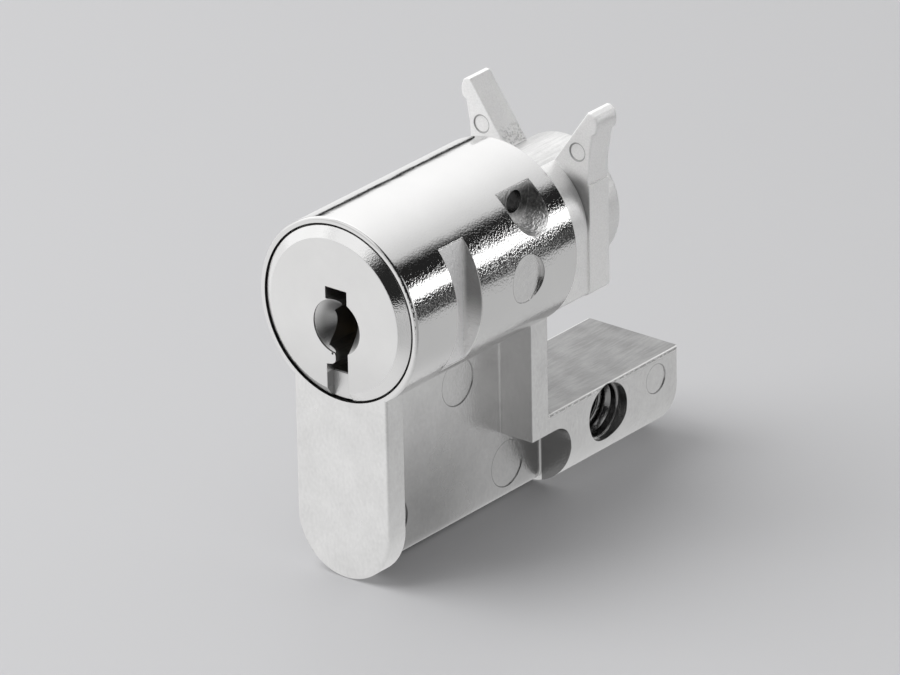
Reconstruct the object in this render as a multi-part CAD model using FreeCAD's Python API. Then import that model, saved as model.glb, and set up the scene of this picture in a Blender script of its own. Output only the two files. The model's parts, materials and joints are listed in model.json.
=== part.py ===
import FreeCAD, Part
import math
import os

# Half cylinder lock for a profile-cylinder cut-out, in millimetres.
# The lock is laid out about its own axis: X to the right seen from the key side, Y from the
# front face towards the rear, Z up, with Y = 0 at the front of the casing and Z = 0 on the axis
# that the key turns about. The finished pieces are then moved so that the row's origin is the
# centre of the fixing screw's threaded hole.

V = FreeCAD.Vector

# Casing: standard profile
head_radius = 8.5
web_width = 10.0
overall_height = 33.0
screw_to_front = 30.0
screw_to_end = 10.0
screw_drop = 18.8
head_length = 21.7
foot_top_drop = 16.1
front_edge_round = 0.28
foot_end_round = 0.45
foot_top_round = 0.2
notch_root_round = 0.8
head_rear_chamfer = 0.2

# Casing: cored sides of the web; the front and scoop marks' heights are from the web's round end
membrane_thickness = 3.0
membrane_edge_round = 1.25
membrane_rise = 0.05
front_band = 2.15
post_thickness = 2.25
post_height_drop = 17.8
scoop_length = 5.4
scoop_corner_round = 2.1
core_mark_radius = 2.12
core_mark_depth = 0.08
web_mark_place = (13.8, -11.0)
front_mark_place = (4.6, -1.1)
scoop_mark_place = (20.3, -1.5)

# Casing: side features of the head
side_slot_start = 5.45
side_slot_width = 3.25
side_slot_depth = 2.07
pocket_centre = 17.15
pocket_width = 4.5
pocket_depth = 3.5
head_mark_place = 14.95
head_mark_depth = 0.33

# Casing: fixing screw, M5
screw_radius = 2.5
screw_entry_radius = 2.67
screw_entry_depth = 1.1

# Casing: foot mark
foot_mark_from_end = 3.25
foot_mark_rise = 0.7
foot_mark_radius = 1.35

# Plug
face_radius = 6.87
face_stand_out = 0.6
flange_radius = 7.8
flange_front = 0.05
flange_rear = 3.05
barrel_radius = 5.75
barrel_end = 14.0
rear_barrel_radius = 5.0
plug_clearance = 0.05
flange_clearance = 0.2
thrust_clearance = 0.05

# Keyway, seen on the plug's face
keyway_width = 2.3
keyway_height = 7.45
keyway_offset_x = 0.28
keyway_drop = 1.22
keyway_end = 13.9
keyway_entry_end = 2.6
keyway_entry_drop = 5.42
dimple_radius = 2.5
dimple_drop = 0.97
dimple_angle = 45.5
dimple_lean = 0.065
face_groove_depth = 0.9
face_groove_bevel = 0.12

# Guide ribs on the left wall of the keyway: points of their outlines, as the reach from that wall
# and the height from the axis
ward_end = 3.9
upper_ward_top = (1.05, 1.38)
upper_ward_nose = (1.33, 1.24)
upper_ward_under = (1.3, 0.92)
upper_ward_root = (0.0, -0.13)
lower_ward_root = (0.0, -2.98)
lower_ward_top = (0.62, -3.25)
lower_ward_shoulder = (0.88, -3.47)
lower_ward_side_top = (0.97, -3.8)
lower_ward_side_end = (0.97, -4.0)
lower_ward_corner = (0.83, -4.31)
lower_ward_under = (0.5, -4.49)
lower_ward_foot = (0.0, -4.6)

# Turning stop
stop_inner_radius = 5.6
stop_outer_radius = 7.3
stop_length = 1.05
stop_half_angle = 8.0
turn_each_way = 90.0
stop_spare_angle = 0.6
stop_clearance = 0.2

# Tumblers and their springs
tumbler_count = 8
tumbler_first = 4.85
tumbler_pitch = 1.2
tumbler_thickness = 0.8
tumbler_width = 6.2
tumbler_end_radius = 5.3
tumbler_travel = 0.8
tumbler_gap = 0.05
tumbler_window_width = 2.6
tumbler_window_height = 6.2
tumbler_window_drop = 1.0
tumbler_code_step = 0.15
tumbler_codes = (1, -2, 0, 2, -1, 1, -2, 0)
ear_reach = 1.15
ear_height = 1.0
ear_pocket_spare = 0.1
tumbler_groove_depth = 0.8
tumbler_groove_spare = 0.1
spring_length = 2.6
spring_radius = 0.3
spring_wire_radius = 0.07
spring_turns = 6
spring_end_gap = 0.01

# Plug retaining pin
pin_place = 17.45
pin_radius = 1.0
pin_chamfer = 0.15
pin_hole_clearance = 0.01
pin_length = 7.6
pin_depth = 1.4
pin_hole_spare = 0.4
pin_groove_clearance = 0.1
pin_groove_radius = 4.2
pin_groove_spare = 0.2

# Driver with its two fingers
driver_gap = 0.25
driver_hub_radius = 5.85
driver_collar_radius = 6.25
driver_end = 31.0
driver_hub_round = 0.3
fork_front = 25.9
fork_thickness = 2.7
block_half_width = 6.25
plate_half_width = 6.4
block_drop = 6.1
block_corner_round = 0.7
plate_step_height = 4.2
collar_gap_half_width = 2.62
finger_root_outer = (6.27, 4.2)
finger_mid_outer = (6.42, 6.4)
finger_neck_outer = (6.86, 8.9)
finger_hook_under = (7.22, 9.12)
finger_tip_outer = (7.36, 9.8)
finger_tip_round = (7.12, 10.72)
finger_tip_top = (6.75, 10.98)
finger_tip_inner = (6.36, 10.95)
finger_root_inner = (2.55, 5.59)
finger_mark_place = (5.2, 7.05)
finger_mark_radius = 0.8
finger_edge_round = 0.15

# Driver's seat on the plug's tail, and the ring that holds it there
tail_radius = 3.4
tail_flat = 2.6
tail_clearance = 0.05
tail_stand_back = 0.3
tail_chamfer = 0.4
ring_seat_depth = 1.7
ring_seat_radius = 4.9
ring_thickness = 0.6
ring_inner_radius = 2.7
ring_outer_radius = 4.4
ring_gap_angle = 70.0
ring_groove_clearance = 0.05

# Sizes worked out from the driving dimensions
web_half = web_width / 2
web_bottom_centre = -(overall_height - head_radius - web_half)
case_end = screw_to_front + screw_to_end
membrane_half = membrane_thickness / 2
post_front = head_length - post_thickness
scoop_end = post_front + scoop_length
flange_bore_radius = flange_radius + flange_clearance
flange_bore_floor = flange_rear + thrust_clearance
bore_radius = barrel_radius + plug_clearance
rear_bore_radius = rear_barrel_radius + plug_clearance
rear_bore_start = barrel_end + 2 * thrust_clearance
side_slot_floor = head_radius - side_slot_depth
pocket_floor = head_radius - pocket_depth
head_mark_floor = head_radius - head_mark_depth
pin_height = pin_groove_radius + pin_radius + pin_groove_spare
fork_rear = fork_front + fork_thickness
driver_front = head_length + driver_gap
tumbler_slot_half = tumbler_thickness / 2 + tumbler_gap
tumbler_last = tumbler_first + (tumbler_count - 1) * tumbler_pitch
tumbler_rest_shift = tumbler_travel / 2
ear_outer = tumbler_width / 2 + ear_reach
spring_axis_x = tumbler_width / 2 + ear_reach / 2

# Lengths of helper shapes: past the whole lock, past the face that is cut, into the piece that is joined
beyond = 30.0
over = 1.0
overlap = 0.5


def box(x0, x1, y0, y1, z0, z1):
    return Part.makeBox(x1 - x0, y1 - y0, z1 - z0, V(x0, y0, z0))


def rod_y(radius, y0, y1, x=0.0, z=0.0):
    return Part.makeCylinder(radius, y1 - y0, V(x, y0, z), V(0, 1, 0))


def rod_x(radius, x0, x1, y, z):
    return Part.makeCylinder(radius, x1 - x0, V(x0, y, z), V(1, 0, 0))


def line_xz(start, end):
    return Part.LineSegment(V(start[0], 0, start[1]), V(end[0], 0, end[1])).toShape()


def arc_xz(start, middle, end):
    points = [V(p[0], 0, p[1]) for p in (start, middle, end)]
    return Part.Arc(*points).toShape()


def slab_from_outline(edges, y0, y1):
    face = Part.Face(Part.Wire(Part.__sortEdges__(edges)))
    slab = face.extrude(V(0, y1 - y0, 0))
    slab.translate(V(0, y0, 0))
    return slab


def on_circle(radius, degrees, centre=(0.0, 0.0)):
    angle = math.radians(degrees)
    return (centre[0] + radius * math.cos(angle), centre[1] + radius * math.sin(angle))


def ring_sector(inner, outer, y0, y1, middle, half_angle):
    """Part of a ring about the lock's axis; angles run from +X towards +Z."""
    first, last = middle - half_angle, middle + half_angle
    edges = [
        arc_xz(on_circle(outer, first), on_circle(outer, middle), on_circle(outer, last)),
        line_xz(on_circle(outer, last), on_circle(inner, last)),
        arc_xz(on_circle(inner, last), on_circle(inner, middle), on_circle(inner, first)),
        line_xz(on_circle(inner, first), on_circle(outer, first)),
    ]
    return slab_from_outline(edges, y0, y1)


def edges_on_plane(shape, axis, value):
    chosen = []
    for edge in shape.Edges:
        bounds = edge.BoundBox
        low, high = getattr(bounds, axis + "Min"), getattr(bounds, axis + "Max")
        if abs(low - value) < 1e-5 and abs(high - value) < 1e-5:
            chosen.append(edge)
    return chosen


def profile_outline():
    """The casing's cross-section: round head, straight web, round foot of the web."""
    join_angle = math.degrees(math.asin(web_half / head_radius))
    right, left = -90 + join_angle, 270 - join_angle
    bottom = (0.0, web_bottom_centre - web_half)
    head_right, head_left = on_circle(head_radius, right), on_circle(head_radius, left)
    return [
        arc_xz(head_right, (0.0, head_radius), head_left),
        line_xz(head_left, (-web_half, web_bottom_centre)),
        arc_xz((-web_half, web_bottom_centre), bottom, (web_half, web_bottom_centre)),
        line_xz((web_half, web_bottom_centre), head_right),
    ]


def foot_outline(top):
    bottom = (0.0, web_bottom_centre - web_half)
    return [
        line_xz((-web_half, top), (web_half, top)),
        line_xz((web_half, top), (web_half, web_bottom_centre)),
        arc_xz((web_half, web_bottom_centre), bottom, (-web_half, web_bottom_centre)),
        line_xz((-web_half, web_bottom_centre), (-web_half, top)),
    ]


def casing_foot():
    """Part of the web behind the head: rear corners rounded, its flat top sharp at the rear."""
    foot = slab_from_outline(foot_outline(0.0), head_length, case_end)
    foot = foot.makeFillet(foot_end_round, edges_on_plane(foot, "Y", case_end))
    below_top = box(-web_half, web_half, head_length, case_end, -overall_height, -foot_top_drop)
    long_edges = [e for e in edges_on_plane(below_top, "Z", -foot_top_drop) if e.BoundBox.YLength > web_width]
    return foot.common(below_top.makeFillet(foot_top_round, long_edges))


def casing_outside():
    front = slab_from_outline(profile_outline(), 0.0, head_length)
    front = front.makeFillet(front_edge_round, edges_on_plane(front, "Y", 0.0))
    rear_rim = [e for e in edges_on_plane(front, "Y", head_length) if e.BoundBox.ZMax > 0]
    front = front.makeChamfer(head_rear_chamfer, rear_rim)

    inner_half = web_half - foot_top_round
    root = box(-inner_half, inner_half, head_length, head_length + notch_root_round,
               -foot_top_drop, -foot_top_drop + notch_root_round)
    root = root.cut(rod_x(notch_root_round, -web_width, web_width,
                          head_length + notch_root_round, -foot_top_drop + notch_root_round))
    return front.fuse([casing_foot(), root])


def web_cores():
    """Material taken from both sides of the web, which leaves a round-edged membrane."""
    bottom = web_bottom_centre - web_half
    upper = box(-web_width, web_width, front_band, post_front, bottom - over, 0.0)

    scoop = box(-web_width, web_width, post_front, scoop_end, bottom - over, -post_height_drop)
    corner_y, corner_z = scoop_end - scoop_corner_round, -post_height_drop - scoop_corner_round
    corner = box(-web_width, web_width, corner_y, scoop_end, corner_z, -post_height_drop)
    corner = corner.cut(rod_x(scoop_corner_round, -web_width, web_width, corner_y, corner_z))

    lower = bottom + membrane_rise
    membrane = box(-membrane_half, membrane_half, 0.0, case_end, lower, 0.0)
    lower_edges = [e for e in edges_on_plane(membrane, "Z", lower) if e.BoundBox.YLength > membrane_thickness]
    membrane = membrane.makeFillet(membrane_edge_round, lower_edges)
    cores = upper.fuse(scoop.cut(corner))
    return cores.cut([membrane, rod_y(head_radius, 0.0, head_length)])


def core_marks():
    """Shallow round marks of the ejector pins, sunk in the cast faces."""
    places = [web_mark_place]
    for y, rise in (front_mark_place, scoop_mark_place):
        places.append((y, web_bottom_centre + rise))
    marks = []
    for y, z in places:
        marks.append(rod_x(core_mark_radius, membrane_half - core_mark_depth, membrane_half + over, y, z))
    foot_y, foot_z = case_end - foot_mark_from_end, -screw_drop + foot_mark_rise
    marks.append(rod_x(foot_mark_radius, web_half - core_mark_depth, web_half + over, foot_y, foot_z))
    marks.append(rod_x(core_mark_radius, head_mark_floor, head_radius + over, head_mark_place, 0.0))
    return marks


def head_side_pocket():
    """Flat-floored pocket, round below, that the retaining pin is driven in through."""
    half = pocket_width / 2
    round_end = rod_x(half, pocket_floor, head_radius + over, pocket_centre, pin_height)
    above = box(pocket_floor, head_radius + over, pocket_centre - half, pocket_centre + half,
                pin_height, head_radius + over)
    return round_end.fuse(above)


def casing():
    body = casing_outside()
    slot_end = side_slot_start + side_slot_width
    groove_half = tumbler_width / 2 + tumbler_groove_spare
    groove_height = bore_radius + tumbler_groove_depth
    groove_from = tumbler_first - tumbler_slot_half - tumbler_groove_spare
    groove_to = tumbler_last + tumbler_slot_half + tumbler_groove_spare
    cuts = [
        web_cores(),
        box(side_slot_floor, head_radius + over, side_slot_start, slot_end, -head_radius, head_radius),
        head_side_pocket(),
        rod_y(flange_bore_radius, -over, flange_bore_floor),
        rod_y(bore_radius, 0.0, rear_bore_start),
        rod_y(rear_bore_radius, 0.0, head_length + over),
        ring_sector(bore_radius - overlap, stop_outer_radius + stop_clearance, flange_bore_floor - overlap,
                    flange_rear + stop_length + stop_clearance, -90.0,
                    turn_each_way + stop_half_angle + stop_spare_angle),
        box(-groove_half, groove_half, groove_from, groove_to, -groove_height, groove_height),
        rod_x(pin_radius + pin_hole_clearance, pocket_floor - pin_depth - pin_length - pin_hole_spare,
              head_radius, pin_place, pin_height),
        rod_x(screw_radius, -web_width, web_width, screw_to_front, -screw_drop),
        rod_x(screw_entry_radius, web_half - screw_entry_depth, web_width, screw_to_front, -screw_drop),
        rod_x(screw_entry_radius, -web_width, screw_entry_depth - web_half, screw_to_front, -screw_drop),
    ]
    body = body.cut(cuts + core_marks())
    return body.removeSplitter()


def tumbler_place(index):
    """Y of a tumbler's middle, and which way its spring pushes: +1 up, -1 down."""
    return tumbler_first + index * tumbler_pitch, 1 if index % 2 == 0 else -1


def wards():
    """Guide ribs that the key's long grooves slide on, made on into the keyway's left wall."""
    wall = keyway_offset_x - keyway_width / 2

    def at(point):
        return (wall + point[0], point[1])

    def in_wall(point):
        return (wall - over, point[1])

    upper = [
        line_xz(in_wall(upper_ward_top), at(upper_ward_top)),
        arc_xz(at(upper_ward_top), at(upper_ward_nose), at(upper_ward_under)),
        line_xz(at(upper_ward_under), at(upper_ward_root)),
        line_xz(at(upper_ward_root), in_wall(upper_ward_root)),
        line_xz(in_wall(upper_ward_root), in_wall(upper_ward_top)),
    ]
    lower = [
        line_xz(in_wall(lower_ward_root), at(lower_ward_root)),
        line_xz(at(lower_ward_root), at(lower_ward_top)),
        arc_xz(at(lower_ward_top), at(lower_ward_shoulder), at(lower_ward_side_top)),
        line_xz(at(lower_ward_side_top), at(lower_ward_side_end)),
        arc_xz(at(lower_ward_side_end), at(lower_ward_corner), at(lower_ward_under)),
        line_xz(at(lower_ward_under), at(lower_ward_foot)),
        line_xz(at(lower_ward_foot), in_wall(lower_ward_foot)),
        line_xz(in_wall(lower_ward_foot), in_wall(lower_ward_root)),
    ]
    return [slab_from_outline(edges, -face_stand_out, ward_end) for edges in (upper, lower)]


def key_dimple():
    """Cone that leads the key in; it leans to the lower left inside a round rim, so that side has a step."""
    steepness = math.tan(math.radians(dimple_angle))
    cone_radius = dimple_radius + dimple_lean * math.sqrt(2)
    depth = cone_radius * steepness
    cone = Part.makeCone(2 * cone_radius, 0.0, 2 * depth,
                         V(keyway_offset_x - dimple_lean, -face_stand_out - depth, -dimple_drop - dimple_lean),
                         V(0, 1, 0))
    return cone.common(rod_y(dimple_radius, -face_stand_out - over, depth, keyway_offset_x, -dimple_drop))


def keyway_cuts():
    """Slot for the key with its guide ribs left standing, its dimple, and the groove below it."""
    left = keyway_offset_x - keyway_width / 2
    right = keyway_offset_x + keyway_width / 2
    low = -keyway_drop - keyway_height / 2
    high = -keyway_drop + keyway_height / 2
    slot = box(left, right, -face_stand_out - over, keyway_end, low, high)
    groove_floor = face_groove_depth - face_stand_out
    entry = box(left, right, -face_stand_out - over, keyway_entry_end, -keyway_entry_drop, low)
    groove = box(left, right, -face_stand_out - over, groove_floor, -head_radius, -keyway_entry_drop)
    bevel = Part.makePolygon([
        V(left, groove_floor, -keyway_entry_drop),
        V(left, groove_floor + face_groove_bevel, -keyway_entry_drop),
        V(left, groove_floor, -keyway_entry_drop - face_groove_bevel),
        V(left, groove_floor, -keyway_entry_drop),
    ])
    bevel = Part.Face(bevel).extrude(V(keyway_width, 0, 0))
    return [slot.cut(wards()), key_dimple(), entry, groove, bevel]


def plug():
    outline = [
        (0.0, -face_stand_out), (face_radius, -face_stand_out), (flange_radius, flange_front),
        (flange_radius, flange_rear), (barrel_radius, flange_rear), (barrel_radius, barrel_end),
        (rear_barrel_radius, barrel_end), (rear_barrel_radius, pin_place - pin_radius - pin_groove_clearance),
        (pin_groove_radius, pin_place - pin_radius - pin_groove_clearance),
        (pin_groove_radius, pin_place + pin_radius + pin_groove_clearance),
        (rear_barrel_radius, pin_place + pin_radius + pin_groove_clearance),
        (rear_barrel_radius, driver_front), (0.0, driver_front),
    ]
    wire = Part.makePolygon([V(r, y, 0) for r, y in outline + outline[:1]])
    body = Part.Face(wire).revolve(V(0, 0, 0), V(0, 1, 0), 360)

    tail_end = driver_end - tail_stand_back
    tail = rod_y(tail_radius, driver_front - overlap, tail_end)
    tail = tail.makeChamfer(tail_chamfer, edges_on_plane(tail, "Y", tail_end))
    tail = tail.common(box(-tail_flat, tail_flat, 0.0, tail_end, -beyond, beyond))
    groove_start = driver_end - ring_seat_depth
    groove_end = groove_start + ring_thickness + 2 * ring_groove_clearance
    groove = rod_y(tail_radius + over, groove_start, groove_end)
    groove = groove.cut(rod_y(ring_inner_radius - ring_groove_clearance, groove_start, groove_end))
    lug = ring_sector(stop_inner_radius, stop_outer_radius, flange_rear - overlap,
                      flange_rear + stop_length, -90.0, stop_half_angle)
    body = body.fuse([tail.cut(groove), lug])
    cuts = keyway_cuts()
    slot_half_width = tumbler_width / 2 + tumbler_gap
    for index in range(tumbler_count):
        y, way = tumbler_place(index)
        y0, y1 = y - tumbler_slot_half, y + tumbler_slot_half
        cuts.append(box(-slot_half_width, slot_half_width, y0, y1, -head_radius, head_radius))
        floor = spring_floor(way)
        stop = way * (tumbler_rest_shift + ear_height / 2 + ear_pocket_spare)
        reach = way * (ear_outer + tumbler_gap * 2)
        cuts.append(box(min(0.0, reach), max(0.0, reach), y0, y1, min(floor, stop), max(floor, stop)))
    return body.cut(cuts).removeSplitter()


def spring_floor(way):
    """Height of the pocket floor that a tumbler's spring stands on."""
    return way * (tumbler_rest_shift - ear_height / 2 - spring_length)


def tumbler(index):
    y, way = tumbler_place(index)
    y0, y1 = y - tumbler_thickness / 2, y + tumbler_thickness / 2
    half = tumbler_width / 2
    plate = rod_y(tumbler_end_radius, y0, y1).common(box(-half, half, y0, y1, -beyond, beyond))
    ear = box(min(0.0, way * ear_outer), max(0.0, way * ear_outer), y0, y1,
              -ear_height / 2, ear_height / 2)
    code = tumbler_codes[index % len(tumbler_codes)] * tumbler_code_step
    window_mid = -tumbler_window_drop + code
    window = box(keyway_offset_x - tumbler_window_width / 2, keyway_offset_x + tumbler_window_width / 2,
                 y0, y1, window_mid - tumbler_window_height / 2, window_mid + tumbler_window_height / 2)
    blade = plate.fuse(ear).cut(window).removeSplitter()
    blade.translate(V(0, 0, way * tumbler_rest_shift))
    return blade


def tumbler_spring(index):
    y, way = tumbler_place(index)
    rise = spring_length - 2 * (spring_wire_radius + spring_end_gap)
    helix = Part.makeHelix(rise / spring_turns, rise, spring_radius)
    start = Part.makeCircle(spring_wire_radius, V(spring_radius, 0, 0), V(0, 1, 0))
    coil = Part.Wire(helix).makePipeShell([Part.Wire(start)], True, True)
    coil.translate(V(0, 0, spring_wire_radius + spring_end_gap))
    if way < 0:
        coil.rotate(V(0, 0, 0), V(0, 1, 0), 180)
    coil.translate(V(way * spring_axis_x, y, spring_floor(way)))
    return coil


def retaining_pin():
    outer = pocket_floor - pin_depth
    pin = rod_x(pin_radius, outer - pin_length, outer, pin_place, pin_height)
    ends = edges_on_plane(pin, "X", outer) + edges_on_plane(pin, "X", outer - pin_length)
    return pin.makeChamfer(pin_chamfer, ends)


def finger_outline(side):
    """Outline of one finger of the fork, seen along the axis; side is +1 right or -1 left."""
    def at(point):
        return (side * point[0], point[1])
    return [
        line_xz((0.0, 0.0), at((finger_root_outer[0], 0.0))),
        line_xz(at((finger_root_outer[0], 0.0)), at(finger_root_outer)),
        line_xz(at(finger_root_outer), at(finger_mid_outer)),
        line_xz(at(finger_mid_outer), at(finger_neck_outer)),
        line_xz(at(finger_neck_outer), at(finger_hook_under)),
        arc_xz(at(finger_hook_under), at(finger_tip_outer), at(finger_tip_round)),
        line_xz(at(finger_tip_round), at(finger_tip_top)),
        line_xz(at(finger_tip_top), at(finger_tip_inner)),
        line_xz(at(finger_tip_inner), at(finger_root_inner)),
        line_xz(at(finger_root_inner), (0.0, 0.0)),
    ]


def driver():
    hub = rod_y(driver_hub_radius, driver_front, driver_end)
    hub = hub.makeFillet(driver_hub_round, edges_on_plane(hub, "Y", driver_end))

    round_collar = rod_y(driver_collar_radius, driver_front, fork_front)
    gap_top = box(-collar_gap_half_width, collar_gap_half_width, driver_front, fork_front,
                  0.0, driver_collar_radius + over)
    round_collar = round_collar.cut(gap_top)
    block = box(-block_half_width, block_half_width, driver_front, fork_rear, -block_drop, 0.0)
    plate = box(-plate_half_width, plate_half_width, fork_front, fork_rear, -block_drop, plate_step_height)
    pieces = [round_collar, rounded_below(block, block_half_width), rounded_below(plate, plate_half_width)]
    for side in (-1, 1):
        finger = slab_from_outline(finger_outline(side), fork_front, fork_rear)
        face_edges = [e for e in edges_on_plane(finger, "Y", fork_front) if e.BoundBox.ZMin > plate_step_height]
        pieces.append(finger.makeFillet(finger_edge_round, face_edges))
    body = hub.fuse(pieces)

    bore = rod_y(tail_radius + tail_clearance, driver_front - over, driver_end)
    flat = tail_flat + tail_clearance
    bore = bore.common(box(-flat, flat, driver_front - over, driver_end, -beyond, beyond))
    cuts = [bore, rod_y(ring_seat_radius, driver_end - ring_seat_depth, driver_end + over)]
    for side in (-1, 1):
        cuts.append(rod_y(finger_mark_radius, fork_front - over, fork_front + core_mark_depth,
                          side * finger_mark_place[0], finger_mark_place[1]))
    return body.cut(cuts).removeSplitter()


def rounded_below(slab, half_width):
    lower_corners = []
    for side in (-half_width, half_width):
        for edge in edges_on_plane(slab, "X", side):
            if abs(edge.BoundBox.ZMax + block_drop) < 1e-5:
                lower_corners.append(edge)
    return slab.makeFillet(block_corner_round, lower_corners)


def retaining_ring():
    start = driver_end - ring_seat_depth + ring_groove_clearance
    return ring_sector(ring_inner_radius, ring_outer_radius, start, start + ring_thickness,
                       90.0, 180.0 - ring_gap_angle / 2)


def save(shape, name):
    if len(shape.Solids) != 1 or not shape.isValid():
        raise ValueError(name + " is not one valid solid")
    solid = shape.Solids[0]
    placed = solid.copy()
    placed.translate(V(0, -screw_to_front, screw_drop))
    placed.exportStep("parts/" + name + ".step")
    print(name, round(placed.Volume, 3))


def main():
    os.makedirs("parts", exist_ok=True)
    save(casing(), "housing")
    save(plug(), "plug")
    save(driver(), "driver")
    save(retaining_ring(), "driver_retaining_ring")
    save(retaining_pin(), "plug_retaining_pin")
    for index in range(tumbler_count):
        number = str(index + 1)
        save(tumbler(index), "tumbler_" + number)
        save(tumbler_spring(index), "tumbler_spring_" + number)


main()
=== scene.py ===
import json
import math

import bpy
from mathutils import Matrix, Vector


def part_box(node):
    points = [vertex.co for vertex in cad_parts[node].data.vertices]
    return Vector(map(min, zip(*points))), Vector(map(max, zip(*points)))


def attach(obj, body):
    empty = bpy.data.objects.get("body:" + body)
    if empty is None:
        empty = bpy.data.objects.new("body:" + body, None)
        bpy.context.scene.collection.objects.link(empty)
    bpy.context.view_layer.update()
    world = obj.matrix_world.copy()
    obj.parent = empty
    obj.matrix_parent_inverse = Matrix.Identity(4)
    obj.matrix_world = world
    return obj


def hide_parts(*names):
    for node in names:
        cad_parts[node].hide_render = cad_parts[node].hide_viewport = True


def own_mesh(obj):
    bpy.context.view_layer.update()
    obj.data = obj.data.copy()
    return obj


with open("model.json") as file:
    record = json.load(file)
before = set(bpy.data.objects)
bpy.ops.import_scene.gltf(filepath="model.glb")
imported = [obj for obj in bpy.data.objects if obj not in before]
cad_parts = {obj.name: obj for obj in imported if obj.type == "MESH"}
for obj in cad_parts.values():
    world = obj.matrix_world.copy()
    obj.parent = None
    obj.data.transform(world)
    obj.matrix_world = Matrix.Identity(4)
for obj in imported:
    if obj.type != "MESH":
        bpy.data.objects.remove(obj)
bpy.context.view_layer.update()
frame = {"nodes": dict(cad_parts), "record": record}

# Sizes and places, in metres, taken from the solids
MM = 0.001
case_low, case_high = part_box("housing")
plug_low, plug_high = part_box("plug")
AXIS_Z = (plug_low.z + plug_high.z) / 2
FRONT_Y = case_low.y
HEAD_RADIUS = case_high.z - AXIS_Z

# Camera, in degrees and metres: how it is turned, and where it aims, seen from the point where the
# plug's axis meets the front of the casting
CAMERA_AZIMUTH = 39.175
CAMERA_ELEVATION = 24.216
CAMERA_ROLL = -1.111
CAMERA_DISTANCE = 0.7936
CAMERA_AIM_RIGHT = 9.337 * MM
CAMERA_AIM_UP = -2.011 * MM
CAMERA_LENS = 380.0
SENSOR_WIDTH = 36.0

# Thread of the fixing hole, and the share of the ridge's height that is left at its two ends
THREAD_PITCH = 0.8 * MM
THREAD_OUTER = 2.54 * MM
THREAD_CREST = 2.1 * MM
THREAD_CREST_WIDTH = 0.16 * MM
THREAD_ROOT_WIDTH = 0.7 * MM
THREAD_HALF_LENGTH = 3.75 * MM
THREAD_STEPS = 48
THREAD_LEAST_RISE = 0.05

# Wire of the tumblers' springs
SPRING_WIRE_RADIUS = 0.07 * MM
SPRING_TURNS = 6
SPRING_STEPS = 24
SPRING_SIDES = 10

# How near two points of a mesh are when they count as one
MERGE_DISTANCE = 0.001 * MM

# How far the eye sees sharp edges rounded
EDGE_ROUND = 0.06 * MM

# From here on, places on the object are in millimetres: sideways from its middle plane, rearwards
# from the front of the casting, and up from the axis that the plug turns about

# Areas of the casting; web and foot reach WEB_HALF to each side, and CORE_FLOOR where they are cored
HEAD_END = 21.7
FLANGE_BORE_RADIUS = 8.0
WEB_HALF = 5.0
WEB_TOP = -6.9
WEB_BOTTOM = (case_low.z - AXIS_Z) / MM
CORE_FLOOR = 1.5
CORE_START = 2.2
POST_FRONT = 19.45
SCOOP_END = 24.85
SCOOP_TOP = -17.85
FOOT_TOP = -16.1
SLOT_START = 5.45
SLOT_END = 8.7
SLOT_FLOOR = 6.43
POCKET_START = 14.9
POCKET_END = 19.4
POCKET_FLOOR = 5.0
POCKET_BOTTOM = 3.05
PIN_HOLE_BOTTOM = 4.3
PIN_HOLE_TOP = 6.3

# Ways over which the casting's painted shade and grain change: painted shade upwards in the slot and the
# cored sides and rearwards in the cored sides, and the grain upwards on the head
SLOT_SHADE_UP = (-3.0, 1.0)
CORE_SHADE_UP = (-22.0, -9.0)
CORE_SHADE_BACK = (9.0, 19.5)
GRAIN_SHADE_UP = (4.5, 6.5)
GRAIN_END = 19.0

# Ejector marks and fixing hole of the casting
CORE_MARK_RADIUS = 2.12
CORE_MARKS = ((13.8, -11.0), (4.6, -20.6), (20.3, -21.0))
FOOT_MARK = (36.75, -18.1)
FOOT_MARK_RADIUS = 1.35
HEAD_MARK = (14.95, 0.0)
HEAD_MARK_SIDE = (7.0, 7.5)
SCREW_AXIS = (30.0, -18.8)
SCREW_HOLE_RADIUS = 2.5

# Plug: its face with the key dimple, the painted shadow of a burr as a small dark dot at the dimple's lower
# left, the keyway inside the barrel, and the groove
FACE_Y = (plug_low.y - FRONT_Y) / MM
FACE_RADIUS = 6.87
FACE_SHADE_UP = (-6.5, -1.0)
KEY_DIMPLE = (0.28, -0.97)
KEY_DIMPLE_RADIUS = 2.5
DIMPLE_SHADE_RIGHT = (1.2, 1.7)
DIMPLE_SHADOW_DOT = (-0.23, -3.52)
DIMPLE_SHADOW_DOT_EDGE = (0.08, 0.13)
BARREL_START = -0.15
BARREL_END = 25.0
BARREL_INSIDE = 6.65
KEYWAY_LEFT = -0.87
KEYWAY_BOTTOM = -5.42
GROOVE_FLOOR = 0.3

# Driver: its fork with the valley between the fingers and the left finger's root, its hub, and the
# ejector marks on the fronts of the fingers
FORK_FRONT = 25.9
FORK_REAR = 28.6
FINGER_FOOT = (4.0, 5.5)
VALLEY_EDGE = (6.8, 8.0)
VALLEY_UP = (0.3, 4.8)
ROOT_ACROSS = (-4.0, -1.0)
ROOT_UP = (4.0, 6.8)
HUB_RADIUS = 5.85
HUB_SHADE_RIGHT = (0.0, 4.0)
FINGER_MARK = (5.2, 7.05)
FINGER_MARK_RADIUS = 0.8

# Stage, in metres and watts: the floor, the lamp, and what the eye and the floor see of the room
FLOOR_COLOUR = (0.52, 0.52, 0.53, 1.0)
FLOOR_RADIUS = 4.0
LAMP_TOWARDS = (-0.55, -0.45, 1.0)
LAMP_DISTANCE = 0.6
LAMP_SIZE = 0.5
LAMP_POWER = 3.0
ROOM_SEEN = 0.86
ROOM_LIGHT = 0.55

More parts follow.
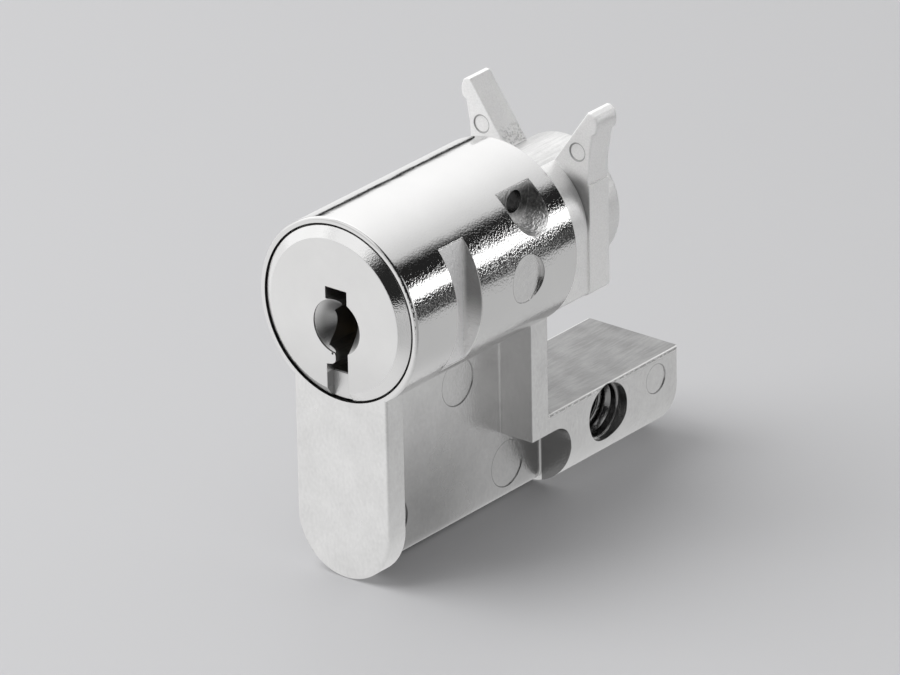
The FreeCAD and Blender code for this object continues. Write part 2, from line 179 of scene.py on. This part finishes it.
# What the metal mirrors: a dome, whose right and left edges are given as tilts, and soft boxes, each
# with its level, the way to its middle, its half angle and the half width of its soft edge, in degrees
DOME_RIGHT_EDGE = 50.0
DOME_LEFT_EDGE = -10.0
GAP_LEVEL = 0.02
LEFT_BOX = (1.15, (-0.9, -0.15, 0.3), 34, 5)
HIGH_BOX = (1.05, (-0.3, -0.62, 0.72), 25, 8)
FRONT_BOX = (0.8, (-0.45, -0.85, 0.28), 26, 6)
RIGHT_BOX = (0.8, (1.0, 0.0, 0.25), 22, 6)
STRIPE_BOX = (2.6, (0.7, 0.7, 0.15), 24, 5)


class Signal:
    """A socket of a finish: arithmetic on it adds Math nodes, and make() adds any other node."""

    def __init__(self, tree, socket):
        self.tree = tree
        self.socket = socket

    def make(self, kind, inputs=None, output=0, **settings):
        node = self.tree.nodes.new(kind)
        for name, value in settings.items():
            setattr(node, name, value)
        for name, value in (inputs or {}).items():
            if isinstance(value, Signal):
                self.tree.links.new(value.socket, node.inputs[name])
            else:
                node.inputs[name].default_value = value
        return Signal(self.tree, node.outputs[output])

    @classmethod
    def source(cls, tree, kind, output):
        """A signal out of a new node that needs no inputs."""
        return cls(tree, None).make(kind, output=output)

    def parts(self):
        """The signals x, y and z of a vector signal."""
        x = self.make("ShaderNodeSeparateXYZ", {0: self})
        return [Signal(self.tree, part) for part in x.socket.node.outputs]

    def math(self, operation, *values):
        return self.make("ShaderNodeMath", dict(enumerate(values)), operation=operation)

    def __add__(self, other):
        return self.math("ADD", self, other)

    def __sub__(self, other):
        return self.math("SUBTRACT", self, other)

    def __mul__(self, other):
        return self.math("MULTIPLY", self, other)

    def __rsub__(self, other):
        return self.math("SUBTRACT", other, self)

    def __abs__(self):
        return self.math("ABSOLUTE", self)

    __radd__ = __add__
    __rmul__ = __mul__

    def root(self):
        return self.math("SQRT", self)

    def larger(self, other):
        return self.math("MAXIMUM", self, other)

    def rise(self, low, high):
        """0 where the signal is under low, 1 over high, with a smooth way between."""
        return self.make("ShaderNodeMapRange", {"Value": self, "From Min": low, "From Max": high},
                         interpolation_type="SMOOTHSTEP")

    def past(self, edge, soft):
        """0 before an edge and 1 past it, with a soft change as far as soft on both sides."""
        return self.rise(edge - soft, edge + soft)

    def within(self, low, high, soft=0.03):
        """1 between low and high, 0 outside, with soft edges."""
        return self.past(low, soft) * (1 - self.past(high, soft))

    def span(self, low, high):
        """The signal's 0 to 1 stretched from low to high."""
        return self.make("ShaderNodeMapRange", {"Value": self, "To Min": low, "To Max": high})

    def mix(self, dark, light):
        """Colour between dark and light, with the signal as the share of light."""
        return self.make("ShaderNodeMix", {"Factor": self, 6: dark, 7: light}, output=2, data_type="RGBA")


def shaded(tone, *shares):
    """Tone made darker in each area by its share, or lighter where the share is below 0."""
    for area, share in shares:
        tone = tone * (1 - share * area)
    return tone


def grey(value, warm=0.0):
    return (value * (1 + warm), value, value * (1 - warm), 1.0)


class Finish:
    """A new metal finish, with the place on the object as x, y from the front and z from the axis."""

    def __init__(self, name):
        self.material = bpy.data.materials.new(name)
        self.material.use_nodes = True
        self.tree = self.material.node_tree
        self.shader = self.tree.nodes["Principled BSDF"]
        self.shader.inputs["Metallic"].default_value = 1.0
        self.here = Signal.source(self.tree, "ShaderNodeTexCoord", "Object")
        x, y, z = self.here.parts()
        self.x = x * (1 / MM)
        self.y = (y - FRONT_Y) * (1 / MM)
        self.z = (z - AXIS_Z) * (1 / MM)
        self.radius = (self.x * self.x + self.z * self.z).root()

    def noise(self, size_mm, stretch=(1.0, 1.0, 1.0), detail=2.0, shift=0.0):
        """Noise whose grains are about size_mm across, longer along an axis whose stretch is over 1."""
        scaled = self.here.make("ShaderNodeMapping", {
            "Vector": self.here, "Location": (shift, shift, shift),
            "Scale": tuple(1 / (size_mm * MM * s) for s in stretch)})
        return self.here.make("ShaderNodeTexNoise", {"Vector": scaled, "Scale": 1.0, "Detail": detail})

    def from_point(self, first, second, place):
        """Distance in millimetres from a place, measured along two of the axes."""
        a, b = first - place[0], second - place[1]
        return (a * a + b * b).root()

    def circle_line(self, first, second, place, radius, width=0.06):
        """Thin line round a circle."""
        return 1 - abs(self.from_point(first, second, place) - radius).rise(width / 2, width)

    def set(self, name, value):
        self.tree.links.new(value.socket, self.shader.inputs[name])

    def paint(self, tone):
        """Nickel's slightly warm grey, as light as the tone says."""
        self.set("Base Color", tone.mix(grey(0.0), grey(1.0, 0.004)))

    def bump(self, heights):
        """Adds bumps, each a pair of a height signal and what its full height is in millimetres."""
        normal = self.here.make("ShaderNodeBevel", {"Radius": EDGE_ROUND}, samples=6)
        for height, depth_mm in heights:
            normal = height.make("ShaderNodeBump", {
                "Height": height, "Distance": depth_mm * MM, "Strength": 1.0, "Normal": normal})
        self.set("Normal", normal)


def casting_finish():
    """Nickel-plated casting: mirror-like grainy head, satin web, sawn foot top, rougher sunk floors."""
    f = Finish("nickel_plated_casting")
    side = abs(f.x)
    grain = f.noise(0.2, detail=2.0).rise(0.38, 0.60)
    coarse = f.noise(0.3, detail=2.0, shift=5.0)
    wave = f.noise(2.2, detail=1.0, shift=3.0)
    cloud = f.noise(5.0, detail=3.0, shift=7.0)
    mottle = f.noise(0.28, stretch=(1.0, 1.0, 1.6), detail=3.0, shift=2.0)
    upright = f.noise(0.16, stretch=(1.0, 1.0, 14.0), detail=2.0, shift=1.0)
    lengthwise = f.noise(0.22, stretch=(1.0, 10.0, 1.0), detail=3.0, shift=9.0)

    # Head with its front rim, and the bores inside it
    below_head = 1 - f.z.past(WEB_TOP, 0.1)
    on_round = 1 - abs(f.radius - HEAD_RADIUS / MM).rise(0.05, 0.12)
    rim = f.radius.rise(FLANGE_BORE_RADIUS - 0.1, FLANGE_BORE_RADIUS) * (1 - f.y.rise(0.3, 0.5))
    head = (on_round * (1 - below_head)).larger(rim * (1 - below_head))
    # Painted shade on the head's round underside beside the cored sides
    under_head_shade = on_round * below_head * f.y.within(CORE_START, POST_FRONT - 0.05)
    under_head_shade = under_head_shade * side.past(CORE_FLOOR + 0.1, 0.05)
    in_bores = 1 - f.radius.rise(FLANGE_BORE_RADIUS, FLANGE_BORE_RADIUS + 0.1)
    in_bores = in_bores * f.y.rise(0.4, 1.0) * (1 - f.y.past(HEAD_END - 0.1, 0.1))

    # Slot and pocket in the head's right side
    side_slot = f.x.past(SLOT_FLOOR - 0.08, 0.05) * f.y.within(SLOT_START - 0.05, SLOT_END + 0.05)
    side_slot = side_slot * (1 - on_round)
    slot_wall = side_slot * f.y.past(SLOT_END - 0.06, 0.04) * f.x.rise(SLOT_FLOOR - 0.13, SLOT_FLOOR + 0.52)
    # Slot floor; its tone is painted lighter further on, as painted light
    slot_floor = side_slot * (1 - f.x.past(SLOT_FLOOR + 0.12, 0.05)) * (1 - f.y.past(SLOT_END - 0.1, 0.05))
    pin_pocket = f.x.past(POCKET_FLOOR - 0.07, 0.03) * f.y.within(POCKET_START - 0.05, POCKET_END + 0.05)
    pin_pocket = pin_pocket * f.z.past(POCKET_BOTTOM, 0.05) * (1 - on_round)
    sunk = side_slot.larger(pin_pocket)
    # Painted shade on the inner walls of the bores
    inside = in_bores * f.z.past(-FLANGE_BORE_RADIUS - 0.1, 0.1) * (1 - sunk)
    satin = 1 - head.larger(sunk)

    # Cored sides of the web, with the post behind them, the scooped corner below, and painted shade on them
    beside_floor = side.past(CORE_FLOOR + 0.15, 0.05)
    membrane = (1 - side.past(CORE_FLOOR + 0.2, 0.1)) * f.y.within(CORE_START, SCOOP_END - 0.05) * below_head
    scoop = f.y.within(POST_FRONT + 0.05, SCOOP_END + 0.05) * (1 - f.z.past(SCOOP_TOP, 0.05))
    # Painted shade on the scoop's walls
    scoop_wall_shade = scoop * (1 - side.past(WEB_HALF - 0.05, 0.02)) * beside_floor
    # Painted shade on the post's front
    post_front_shade = f.y.within(POST_FRONT - 0.05, POST_FRONT + 0.05) * beside_floor * below_head
    # Painted shade: the cored sides darker downwards and towards the front, and darker along their bottom
    # edge
    low_core_shade = membrane * (1 - f.z.rise(*CORE_SHADE_UP)).span(0.03, 0.62) * (1 - 0.4 * f.y.rise(*CORE_SHADE_BACK))
    bottom_edge_shade = membrane * (1 - f.z.rise(WEB_BOTTOM + 0.35, WEB_BOTTOM + 0.5))

    # Foot: its sawn top, the painted highlight along the top's long edges with dark dots below, and its hole,
    # painted darker inside as painted shade
    on_foot = f.y.past(HEAD_END + 0.2, 0.1)
    foot_top = on_foot * f.z.within(FOOT_TOP - 0.15, FOOT_TOP + 0.1)
    foot_edge = on_foot * side.within(WEB_HALF - 0.22, WEB_HALF + 0.1)
    foot_edge = foot_edge * f.z.within(FOOT_TOP - 0.3, FOOT_TOP + 0.1)
    # Painted highlight along the long edges of the foot's top
    edge_highlight = foot_edge * side.past(WEB_HALF - 0.15, 0.03) * f.z.past(FOOT_TOP - 0.03, 0.03)
    edge_dots = foot_edge * f.z.within(FOOT_TOP - 0.2, FOOT_TOP - 0.08, 0.03) * coarse.rise(0.42, 0.52)
    saw_marks = foot_top * (1 - foot_edge) * (0.22 * lengthwise + 0.3 * wave + 0.36)
    from_screw = f.from_point(f.y, f.z, SCREW_AXIS)
    # Painted shade inside the fixing hole
    screw_hole = 1 - from_screw.rise(SCREW_HOLE_RADIUS + 0.1, SCREW_HOLE_RADIUS + 0.2)
    screw_hole = screw_hole * (1 - side.rise(WEB_HALF - 0.1, WEB_HALF - 0.05))

    # Lines round the ejector marks, fainter here and there
    rings = f.circle_line(f.y, f.z, HEAD_MARK, CORE_MARK_RADIUS) * head * f.x.rise(*HEAD_MARK_SIDE)
    foot_ring = f.circle_line(f.y, f.z, FOOT_MARK, FOOT_MARK_RADIUS)
    rings = rings.larger(foot_ring * side.rise(WEB_HALF - 0.2, WEB_HALF - 0.1))
    for mark in CORE_MARKS:
        rings = rings.larger(f.circle_line(f.y, f.z, mark, CORE_MARK_RADIUS) * membrane)
    rings = rings * wave.rise(0.3, 0.6).span(0.3, 1.0)

    # Painted shade in a band across the pin pocket at the height of the pin hole, with speckles of real
    # pitting
    pin_hole_shade = f.z.within(PIN_HOLE_BOTTOM, PIN_HOLE_TOP, 0.5)
    pocket_shade_and_pits = pin_pocket * (0.6 * pin_hole_shade + 0.15 * coarse.rise(0.4, 0.6))
    # Painted shade on the slot's rear wall, stronger upwards
    upper_slot_wall_shade = slot_wall * f.z.rise(*SLOT_SHADE_UP)
    tone = cloud.span(0.70, 0.76) * (1 + 0.22 * sunk + 0.1 * pin_pocket)
    tone = tone * (1 + satin * (mottle.span(-0.09, 0.09) + wave.span(-0.07, 0.07)))
    # Painted shade and painted light, laid in with the real rings, pits, saw marks and dots
    tone = shaded(tone, (inside, 0.35), (rings, 0.45), (pocket_shade_and_pits, 1.0), (upper_slot_wall_shade, 0.66),
                  (slot_floor, -0.1), (under_head_shade, 0.2), (low_core_shade, 1.0), (bottom_edge_shade, 0.5),
                  (scoop_wall_shade, 0.72), (post_front_shade, 0.24), (saw_marks, 1.0), (edge_highlight, -0.36),
                  (edge_dots, 0.4), (screw_hole, 0.6))
    f.paint(tone)
    rough = cloud.span(0.22, 0.30) + 0.08 * foot_top + 0.25 * foot_edge - 0.1 * screw_hole
    f.set("Roughness", head * 0.055 + satin * rough + sunk * 0.32)
    f.set("Metallic", 1 - 0.3 * foot_top - 0.9 * slot_floor)

    # The head's grain is strongest low on its side, between the slot and the rear
    bands = (1 - f.z.rise(*GRAIN_SHADE_UP)) * f.y.within(SLOT_END, GRAIN_END, 1.5).span(0.45, 1.0)
    grainy = head * bands.span(0.2, 1.0) + satin * 0.6 + sunk
    f.bump([(grain * grainy, 0.0072), (wave, 0.02), (coarse * sunk, 0.08),
            (upright * satin * (1 - foot_top), 0.005), (lengthwise * foot_top, 0.008)])
    return f.material


def plug_finish():
    """Nickel-plated plug: finely blasted face, smoother bevel, painted shade in the keyway, groove as pale as
    the face.
    """
    f = Finish("nickel_plated_plug")
    grain = f.noise(0.12, detail=1.0)
    cloud = f.noise(3.0, detail=3.0)
    bevel = f.radius.rise(FACE_RADIUS - 0.02, FACE_RADIUS + 0.08) * (1 - f.y.past(0.06, 0.02))
    below_slot = 1 - f.z.rise(KEYWAY_BOTTOM - 0.03, KEYWAY_BOTTOM + 0.02)
    groove = below_slot * (1 - f.y.rise(GROOVE_FLOOR + 0.01, GROOVE_FLOOR + 0.04))
    # Painted shade on the groove's left wall
    groove_wall_shade = below_slot * f.y.past(FACE_Y + 0.04, 0.02)
    groove_wall_shade = groove_wall_shade * (1 - f.x.rise(KEYWAY_LEFT + 0.02, KEYWAY_LEFT + 0.05))
    in_dimple = 1 - f.from_point(f.x, f.z, KEY_DIMPLE).rise(KEY_DIMPLE_RADIUS - 0.05, KEY_DIMPLE_RADIUS)
    # Painted shade on the dimple's left part
    dimple_left_shade = in_dimple * f.y.within(FACE_Y + 0.06, 3.0, 0.04) * (1 - f.x.rise(*DIMPLE_SHADE_RIGHT))
    # Painted shadow of a burr: a small dark dot at the dimple's lower left
    burr_shadow_dot = 1 - f.from_point(f.x, f.z, DIMPLE_SHADOW_DOT).rise(*DIMPLE_SHADOW_DOT_EDGE)
    # Painted shade inside the barrel and keyway, left out in the groove
    inside = f.y.within(BARREL_START, BARREL_END, 0.35) * (1 - f.radius.past(BARREL_INSIDE, 0.15))
    inside = inside * (1 - groove)
    # Painted shade low on the face
    low_face_shade = 1 - f.z.rise(*FACE_SHADE_UP)
    f.paint(shaded(cloud.span(0.74, 0.84), (inside, 0.45), (dimple_left_shade, 0.2), (groove_wall_shade, 0.6),
                   (burr_shadow_dot, 0.95), (low_face_shade, 0.1)))
    f.set("Roughness", bevel * 0.10 + (1 - bevel) * cloud.span(0.34, 0.42))
    f.bump([(grain, 0.010)])
    return f.material


def driver_finish():
    """Nickel-plated driver: satin as cast, streaked hub, rubbed fingers with a pitted root at the left."""
    f = Finish("nickel_plated_driver")
    grain = f.noise(0.14, detail=1.0)
    cloud = f.noise(3.0, detail=3.0, shift=4.0)
    streak = f.noise(0.22, stretch=(1.0, 12.0, 1.0), detail=2.0)
    upright = f.noise(0.3, stretch=(1.0, 1.0, 8.0), detail=3.0, shift=6.0)
    pitted = f.noise(0.22, detail=2.0, shift=2.0).rise(0.5, 0.6)
    past_hub = f.radius.rise(HUB_RADIUS + 0.15, HUB_RADIUS + 0.25)
    fingers = past_hub * f.z.rise(*FINGER_FOOT) * f.y.within(FORK_FRONT - 0.1, FORK_REAR + 0.1)
    front_faces = fingers * (1 - f.y.rise(FORK_FRONT + 0.1, FORK_FRONT + 0.2))
    hub = (1 - f.radius.rise(HUB_RADIUS + 0.03, HUB_RADIUS + 0.1)) * (1 - fingers)
    # Painted light on the rear hub's right side: its streaks are weaker there
    rear_hub_lit = hub * f.y.rise(FORK_REAR, FORK_REAR + 0.1) * f.x.rise(*HUB_SHADE_RIGHT)
    streaks = hub * (1 - 0.7 * rear_hub_lit) * streak.span(0.08, 0.4)
    rings = f.circle_line(abs(f.x), f.z, FINGER_MARK, FINGER_MARK_RADIUS, 0.09) * front_faces
    # Painted shade in the valley between the fingers, on the fork's front
    valley_shade = (1 - f.radius.rise(*VALLEY_EDGE)) * f.z.within(*VALLEY_UP, 0.9)
    valley_shade = valley_shade * f.y.within(FORK_FRONT - 0.1, FORK_FRONT + 0.1)
    left_root = f.x.within(*ROOT_ACROSS) * f.z.within(*ROOT_UP, 0.4)
    left_root = left_root * past_hub * f.y.within(FORK_FRONT + 0.2, FORK_REAR - 0.1)
    tone = cloud.span(0.90, 0.97) * (1 + grain.span(-0.10, 0.10))
    f.paint(shaded(tone, (streaks, 1.0), (rings, 0.5), (valley_shade, 0.55), (left_root * pitted, 0.25)))
    f.set("Roughness", cloud.span(0.38, 0.46))
    f.set("Metallic", 0.85 - 0.35 * fingers - 0.15 * front_faces - 0.5 * rear_hub_lit)
    f.bump([(grain, 0.020), (streak * hub, 0.020), (upright * fingers * (1 - front_faces), 0.05),
            (pitted * left_root, 0.07)])
    return f.material


def plain_metal_finish(name, dark, light, roughness, stretch):
    """Drawn, ground or stamped metal of a small inner piece."""
    f = Finish(name)
    grain = f.noise(0.1, stretch=stretch, detail=2.0)
    f.set("Base Color", grain.mix(dark, light))
    f.set("Roughness", grain.span(roughness - 0.06, roughness + 0.06))
    f.bump([(grain, 0.006)])
    return f.material


def dress(material, node):
    """Gives a solid its finish."""
    for slot in frame["nodes"][node].material_slots:
        slot.material = material


def deselect_all():
    if bpy.context.object and bpy.context.object.mode != "OBJECT":
        bpy.ops.object.mode_set(mode="OBJECT")
    bpy.ops.object.select_all(action="DESELECT")


def choose(piece):
    """Makes a piece the only selected one and the active one."""
    deselect_all()
    piece.select_set(True)
    bpy.context.view_layer.objects.active = piece


def place_in_mesh(piece):
    """Moves an object's place, turn and size into its mesh, so that the object sits at the origin."""
    choose(piece)
    bpy.ops.object.transform_apply(location=True, rotation=True, scale=True)


def wind(outline, pitch, turns, steps):
    """Winds an outline that stands beside the Z axis up round that axis; it is the active object."""
    winding = outline.modifiers.new("winding", "SCREW")
    winding.axis = "Z"
    winding.angle = 2 * math.pi
    winding.screw_offset = pitch
    winding.iterations = turns
    winding.steps = steps
    winding.render_steps = steps
    bpy.ops.object.modifier_apply(modifier=winding.name)


def close_ends(sides):
    """Joins the turns of the active helix, fills both its ends, and turns its faces outwards."""
    bpy.ops.object.mode_set(mode="EDIT")
    bpy.ops.mesh.select_all(action="SELECT")
    bpy.ops.mesh.remove_doubles(threshold=MERGE_DISTANCE)
    bpy.ops.mesh.select_all(action="DESELECT")
    bpy.ops.mesh.select_non_manifold()
    bpy.ops.mesh.fill_holes(sides=sides)
    bpy.ops.mesh.select_all(action="SELECT")
    bpy.ops.mesh.normals_make_consistent(inside=False)
    bpy.ops.object.mode_set(mode="OBJECT")


def run_out(thread, length):
    """Lets the ridge sink into the hole's wall over its first and its last turn."""
    for vertex in thread.data.vertices:
        from_end = min(vertex.co.z, length - vertex.co.z)
        rise = min(1.0, max(THREAD_LEAST_RISE, from_end / THREAD_PITCH))
        radius = math.hypot(vertex.co.x, vertex.co.y)
        share = (THREAD_OUTER + (radius - THREAD_OUTER) * rise) / radius
        vertex.co.x *= share
        vertex.co.y *= share


def screw_thread(finish):
    """Ridge of the fixing hole's thread: one tooth wound round the hole's axis, which is the X axis."""
    deselect_all()
    bpy.ops.mesh.primitive_plane_add(size=1.0, location=(0, 0, 0))
    thread = bpy.context.object
    thread.name = "screw_thread"
    half_root, half_crest = THREAD_ROOT_WIDTH / 2, THREAD_CREST_WIDTH / 2
    corners = [(THREAD_OUTER, -half_root), (THREAD_CREST, -half_crest),
               (THREAD_CREST, half_crest), (THREAD_OUTER, half_root)]
    # The new plane's corners go round in the order 0, 1, 3, 2
    for index, (radius, along) in zip((0, 1, 3, 2), corners):
        thread.data.vertices[index].co = Vector((radius, 0.0, along))
    choose(thread)
    bpy.ops.object.mode_set(mode="EDIT")
    bpy.ops.mesh.select_all(action="SELECT")
    bpy.ops.mesh.delete(type="ONLY_FACE")
    bpy.ops.object.mode_set(mode="OBJECT")
    turns = int(2 * THREAD_HALF_LENGTH / THREAD_PITCH)
    wind(thread, THREAD_PITCH, turns, THREAD_STEPS)
    run_out(thread, turns * THREAD_PITCH)
    close_ends(len(corners))
    thread.rotation_euler = (0.0, math.pi / 2, 0.0)
    thread.location = (-turns * THREAD_PITCH / 2, 0.0, 0.0)
    place_in_mesh(thread)
    bpy.ops.object.shade_smooth_by_angle(angle=math.radians(30))
    thread.data.materials.append(finish)
    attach(thread, "casing")


def tumbler_coil(node, joint, fixed_end, finish):
    """Coil in the place of a tumbler's spring, whose solid it hides."""
    low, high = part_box(node)
    middle = (low + high) / 2
    from_top = fixed_end > middle.z
    deselect_all()
    bpy.ops.mesh.primitive_circle_add(vertices=SPRING_SIDES, radius=SPRING_WIRE_RADIUS, location=(0, 0, 0))
    coil = bpy.context.object
    coil.name = node + "_coil"
    coil.rotation_euler = (math.pi / 2, 0.0, 0.0)
    coil.location = ((high.x - low.x) / 2 - SPRING_WIRE_RADIUS, 0.0, 0.0)
    place_in_mesh(coil)
    rise = high.z - low.z - 2 * SPRING_WIRE_RADIUS
    wind(coil, rise / SPRING_TURNS, SPRING_TURNS, SPRING_STEPS)
    close_ends(SPRING_SIDES)
    coil.rotation_euler = (0.0, 0.0, math.pi if from_top else 0.0)
    coil.location = (middle.x, middle.y, low.z + SPRING_WIRE_RADIUS)
    place_in_mesh(coil)
    bpy.ops.object.shade_smooth_by_angle(angle=math.radians(40))
    coil.data.materials.append(finish)
    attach(coil, "rotor")
    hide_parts(node)
    # How far it would give way, 1% more than its tumbler travels so that they don't touch, is worked out but
    # not used
    length = (fixed_end - low.z) if from_top else (high.z - fixed_end)
    travel = joint["range_m"][1]
    1 - 1.01 * travel / length
    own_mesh(coil)


def soft_light(name, towards, distance, size, power):
    """Large square lamp that shines at the object from a direction, and that the metal doesn't mirror."""
    data = bpy.data.lights.new(name, "AREA")
    data.size = size
    data.energy = power
    lamp = bpy.data.objects.new(name, data)
    bpy.context.scene.collection.objects.link(lamp)
    direction = Vector(towards).normalized()
    lamp.location = direction * distance
    lamp.rotation_mode = "QUATERNION"
    lamp.rotation_quaternion = direction.to_track_quat("Z", "Y")
    lamp.visible_glossy = False


def studio_surroundings():
    """Pale room for the eye and the floor; for the metal, a dome and soft boxes with dark gaps between."""
    world = bpy.data.worlds.new("studio")
    world.use_nodes = True
    bpy.context.scene.world = world
    tree = world.node_tree
    background = tree.nodes["Background"]
    way = Signal.source(tree, "ShaderNodeTexCoord", "Generated")
    right, rearwards, up = way.parts()

    def soft_box(level, direction, half_angle, edge_angle):
        aim = Vector(direction).normalized()
        facing = way.make("ShaderNodeVectorMath", {0: way, 1: tuple(aim)}, output="Value",
                          operation="DOT_PRODUCT")
        return level * facing.rise(math.cos(math.radians(half_angle + edge_angle)),
                                   math.cos(math.radians(half_angle - edge_angle)))

    def above_plane(degrees):
        """How far a direction lies above a plane that holds the Y axis and is tilted up to the right."""
        tilt = math.radians(degrees)
        return up * math.cos(tilt) - right * math.sin(tilt)

    over_gap = above_plane(DOME_RIGHT_EDGE)
    dome = over_gap.rise(-0.05, 0.14) * above_plane(DOME_LEFT_EDGE).rise(-0.06, 0.07)
    dome = dome * rearwards.rise(-0.35, 0.0) * (0.62 + 0.95 * over_gap)
    light = dome.larger(GAP_LEVEL)
    for box in (LEFT_BOX, HIGH_BOX, FRONT_BOX, RIGHT_BOX):
        light = light.larger(soft_box(*box))

    # The bright stripe along the head's side mirrors a low box at the rear right, cut level above and below
    stripe = soft_box(*STRIPE_BOX) * up.rise(0.06, 0.14) * (1 - up.rise(0.23, 0.30))
    light = light.larger(stripe)
    camera = Signal.source(tree, "ShaderNodeLightPath", "Is Camera Ray")
    glossy = Signal.source(tree, "ShaderNodeLightPath", "Is Glossy Ray")
    level = glossy * light + (1 - glossy) * (camera * ROOM_SEEN + (1 - camera) * ROOM_LIGHT)
    background.inputs["Color"].default_value = (1.0, 1.0, 1.0, 1.0)
    tree.links.new(level.socket, background.inputs["Strength"])


def pale_floor():
    """Plain pale floor; glossy rays see a painted reflection that glows, paler to the front left, darker to
    the front right and behind.
    """
    deselect_all()
    bpy.ops.mesh.primitive_circle_add(vertices=96, radius=FLOOR_RADIUS, fill_type="NGON",
                                      location=(0.0, 0.0, case_low.z))
    floor = bpy.context.object
    floor.name = "floor"
    place_in_mesh(floor)
    material = bpy.data.materials.new("pale_floor")
    material.use_nodes = True
    tree = material.node_tree
    shader = tree.nodes["Principled BSDF"]
    shader.inputs["Base Color"].default_value = FLOOR_COLOUR
    shader.inputs["Roughness"].default_value = 0.6
    here = Signal.source(tree, "ShaderNodeTexCoord", "Object")
    x, y, _ = here.parts()
    # The floor as the metal mirrors it is a painted glow: paler to the front left, with painted shade to the
    # front right and far away
    front_left = (x * -0.85 - (y - FRONT_Y) * 0.52).rise(-0.03, 0.012)
    front_right = (x * 0.7 - (y - FRONT_Y) * 0.7).rise(0.01, 0.05)
    far = (x * x + y * y).root().rise(0.10, 0.15)
    mirrored = (0.60 + 0.35 * front_left) * (1 - 0.9 * far * (1 - front_left) * (1 - front_right))
    mirrored = mirrored * (1 - 0.3 * front_right)
    painted_glow = here.make("ShaderNodeEmission", {"Strength": mirrored})
    glossy = Signal.source(tree, "ShaderNodeLightPath", "Is Glossy Ray")
    both = here.make("ShaderNodeMixShader", {0: glossy, 1: Signal(tree, shader.outputs[0]), 2: painted_glow})
    tree.links.new(both.socket, tree.nodes["Material Output"].inputs["Surface"])
    floor.data.materials.append(material)


def camera_at_photo_view():
    azimuth, elevation = math.radians(CAMERA_AZIMUTH), math.radians(CAMERA_ELEVATION)
    roll = math.radians(CAMERA_ROLL)
    back = Vector((math.sin(azimuth) * math.cos(elevation), -math.cos(azimuth) * math.cos(elevation),
                   math.sin(elevation)))
    level_right = Vector((0, 0, 1)).cross(back).normalized()
    level_up = back.cross(level_right)
    right = math.cos(roll) * level_right + math.sin(roll) * level_up
    up = math.cos(roll) * level_up - math.sin(roll) * level_right
    aim = Vector((0.0, FRONT_Y, AXIS_Z)) + right * CAMERA_AIM_RIGHT + up * CAMERA_AIM_UP
    data = bpy.data.cameras.new("camera")
    data.lens = CAMERA_LENS
    data.sensor_width = SENSOR_WIDTH
    data.clip_start = 0.01
    data.clip_end = 20.0
    camera = bpy.data.objects.new("camera", data)
    bpy.context.scene.collection.objects.link(camera)
    turn = Matrix((right, up, back)).transposed().to_4x4()
    camera.matrix_world = Matrix.Translation(aim + back * CAMERA_DISTANCE) @ turn
    bpy.context.scene.camera = camera


casting = casting_finish()
dress(casting, "housing")
dress(plug_finish(), "plug")
dress(driver_finish(), "driver")
dress(plain_metal_finish("phosphated_spring_steel", grey(0.20), grey(0.32), 0.42, (1, 1, 1)),
      "driver_retaining_ring")
dress(plain_metal_finish("ground_steel", grey(0.42), grey(0.55), 0.30, (12, 1, 1)), "plug_retaining_pin")

brass = plain_metal_finish("stamped_brass", (0.55, 0.40, 0.18, 1), (0.75, 0.58, 0.30, 1), 0.34, (1, 1, 8))
wire = plain_metal_finish("spring_wire", grey(0.5), grey(0.62), 0.25, (1, 1, 1))
for joint in frame["record"]["behaviour"]["joints"]:
    for spring in joint.get("deforming_nodes", []):
        dress(brass, joint["child"])
        tumbler_coil(spring["node"], joint, spring["fixed_end_z_m"], wire)
screw_thread(casting)

pale_floor()
studio_surroundings()
soft_light("key_light", LAMP_TOWARDS, LAMP_DISTANCE, LAMP_SIZE, LAMP_POWER)
camera_at_photo_view()
bpy.context.scene.view_settings.view_transform = "Standard"
